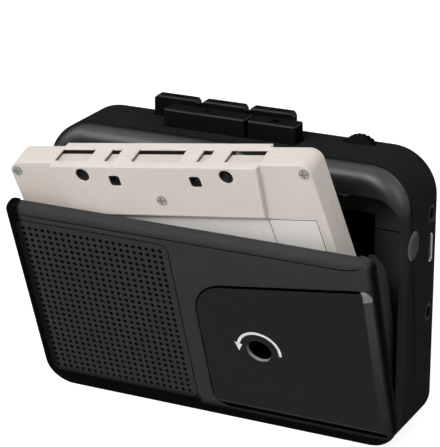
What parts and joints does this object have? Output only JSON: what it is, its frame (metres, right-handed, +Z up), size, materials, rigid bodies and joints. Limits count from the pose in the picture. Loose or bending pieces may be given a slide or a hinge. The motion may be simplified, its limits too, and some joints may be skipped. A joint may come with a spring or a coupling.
{
  "type": "portable cassette player",
  "caption": "Portable cassette player with a bottom-hinged door, perforated speaker grille, gloss panel, top keys, volume wheel and a cassette standing half inserted in the door pocket.",
  "frame": {"origin": "centre of the case's flat base", "axes": "+X to the player's right as seen from the door, +Y to the rear, +Z up"},
  "size_m": [0.1184, 0.0578, 0.0971],
  "materials": {
    "case_plastic": "fine matt texture",
    "door_plastic": "matt",
    "grille": "matt black paint",
    "gloss": "polished",
    "key_plastic": "satin",
    "deck": "matt",
    "steel": "satin",
    "brass": "turned",
    "rubber": "matt",
    "board": "satin",
    "battery": "satin film",
    "speaker": "matt",
    "shell": "satin",
    "label": "coated paper",
    "felt": "felt",
    "tape": "satin leader tape",
    "reel": "satin"
  },
  "bodies": {
    "case": {"case_front": "case_plastic", "case_rear": "case_plastic", "deck_plate": "deck", "case_screws": "steel", "motor": "steel", "drive_belt": "rubber", "circuit_board": "board", "battery_pack": "battery", "speaker": "speaker", "headphone_jack": "deck", "usb_port": "steel", "line_jack": "deck", "mic_capsule": "steel", "volume_pot": "deck", "capstan_bush": "brass", "locating_pins": "steel"},
    "door": {"door_frame": "door_plastic", "speaker_grille": "grille", "gloss_panel": "gloss", "cassette_holder": "door_plastic", "hinge_pins": "steel", "holder_springs": "steel"},
    "cassette": {"cassette_half_front": "shell", "cassette_half_rear": "shell", "cassette_screws": "steel", "cassette_label": "label", "pressure_pad": "felt", "tape_run": "tape"},
    "supply_reel": {"supply_reel": "reel"},
    "takeup_reel": {"takeup_reel": "reel"},
    "play_key": {"play_key": "key_plastic"},
    "stop_key": {"stop_key": "key_plastic"},
    "rewind_key": {"rewind_key": "key_plastic"},
    "forward_key": {"forward_key": "key_plastic"},
    "record_key": {"record_key": "key_plastic"},
    "volume_wheel": {"volume_wheel": "key_plastic"},
    "flywheel": {"flywheel": "steel"},
    "motor_pulley": {"motor_pulley": "brass"},
    "idler_wheel": {"idler_wheel": "deck"},
    "takeup_spindle": {"takeup_spindle": "reel"},
    "supply_spindle": {"supply_spindle": "reel"},
    "head": {"head_slide": "steel", "play_head": "steel"},
    "pinch_arm": {"pinch_arm": "steel"},
    "pinch_roller": {"pinch_roller": "rubber"}
  },
  "joints": [
    {"name": "door_hinge", "type": "hinge", "parent": "case", "child": "door", "pos_m": [0, -0.0025, 0.009], "axis": [1, 0, 0], "range_deg": [-19.8, 0]},
    {"name": "cassette_lift", "type": "slide", "parent": "door", "child": "cassette", "axis": [0, -0.3387, 0.9409], "range_m": [0, 0.125]},
    {"name": "takeup_reel_spin", "type": "hinge", "parent": "cassette", "child": "takeup_reel", "pos_m": [0.01919, -0.02636, 0.05964], "axis": [0, 0.9409, 0.3387], "continuous": true},
    {"name": "supply_reel_spin", "type": "hinge", "parent": "cassette", "child": "supply_reel", "pos_m": [-0.02276, -0.02406, 0.05325], "axis": [0, 0.9409, 0.3387], "continuous": true},
    {"name": "play_key_press", "type": "slide", "parent": "case", "child": "play_key", "axis": [0, 0, -1], "range_m": [0, 0.0025], "stiffness_N_per_m": 300},
    {"name": "stop_key_press", "type": "slide", "parent": "case", "child": "stop_key", "axis": [0, 0, -1], "range_m": [0, 0.0025], "stiffness_N_per_m": 300},
    {"name": "rewind_key_press", "type": "slide", "parent": "case", "child": "rewind_key", "axis": [0, 0, -1], "range_m": [0, 0.0025], "stiffness_N_per_m": 300},
    {"name": "forward_key_press", "type": "slide", "parent": "case", "child": "forward_key", "axis": [0, 0, -1], "range_m": [0, 0.0025], "stiffness_N_per_m": 300},
    {"name": "record_key_press", "type": "slide", "parent": "case", "child": "record_key", "axis": [0, 0, -1], "range_m": [0, 0.0025], "stiffness_N_per_m": 300},
    {"name": "head_shift", "type": "slide", "parent": "case", "child": "head", "axis": [0, 0, -1], "range_m": [0, 0.0025]},
    {"name": "pinch_swing", "type": "hinge", "parent": "case", "child": "pinch_arm", "pos_m": [0.03535, -0.0014, 0.0749], "axis": [0, -1, 0], "range_deg": [0, 8.8]},
    {"name": "pinch_spin", "type": "hinge", "parent": "pinch_arm", "child": "pinch_roller", "pos_m": [0.02235, -0.0078, 0.0745], "axis": [0, 1, 0], "continuous": true},
    {"name": "volume_turn", "type": "hinge", "parent": "case", "child": "volume_wheel", "pos_m": [0.0357, 0.00875, 0.08175], "axis": [0, 1, 0], "range_deg": [-140, 140]},
    {"name": "flywheel_spin", "type": "hinge", "parent": "case", "child": "flywheel", "pos_m": [0.02235, 0, 0.0673], "axis": [0, 1, 0], "continuous": true},
    {"name": "motor_spin", "type": "hinge", "parent": "case", "child": "motor_pulley", "pos_m": [-0.008, 0, 0.0633], "axis": [0, 1, 0], "continuous": true},
    {"name": "idler_spin", "type": "hinge", "parent": "case", "child": "idler_wheel", "pos_m": [0.02121, 0, 0.05424], "axis": [0, 1, 0], "continuous": true},
    {"name": "takeup_spin", "type": "hinge", "parent": "case", "child": "takeup_spindle", "pos_m": [0.0196, 0, 0.0357], "axis": [0, 1, 0], "continuous": true},
    {"name": "supply_spin", "type": "hinge", "parent": "case", "child": "supply_spindle", "pos_m": [-0.0229, 0, 0.0357], "axis": [0, 1, 0], "continuous": true}
  ],
  "couplings": [
    {"joint": "door_hinge", "follows": "cassette_lift", "rad_per_m": -2.7632},
    {"joint": "supply_reel_spin", "follows": "takeup_reel_spin", "ratio": 0.7},
    {"joint": "head_shift", "follows": "play_key_press", "ratio": 1},
    {"joint": "pinch_swing", "follows": "play_key_press", "rad_per_m": 61.366},
    {"joint": "motor_spin", "follows": "flywheel_spin", "ratio": 3.6667},
    {"joint": "idler_spin", "follows": "flywheel_spin", "ratio": -0.45404},
    {"joint": "takeup_spin", "follows": "flywheel_spin", "ratio": 0.42105},
    {"joint": "supply_spin", "follows": "flywheel_spin", "ratio": 0.29474}
  ]
}
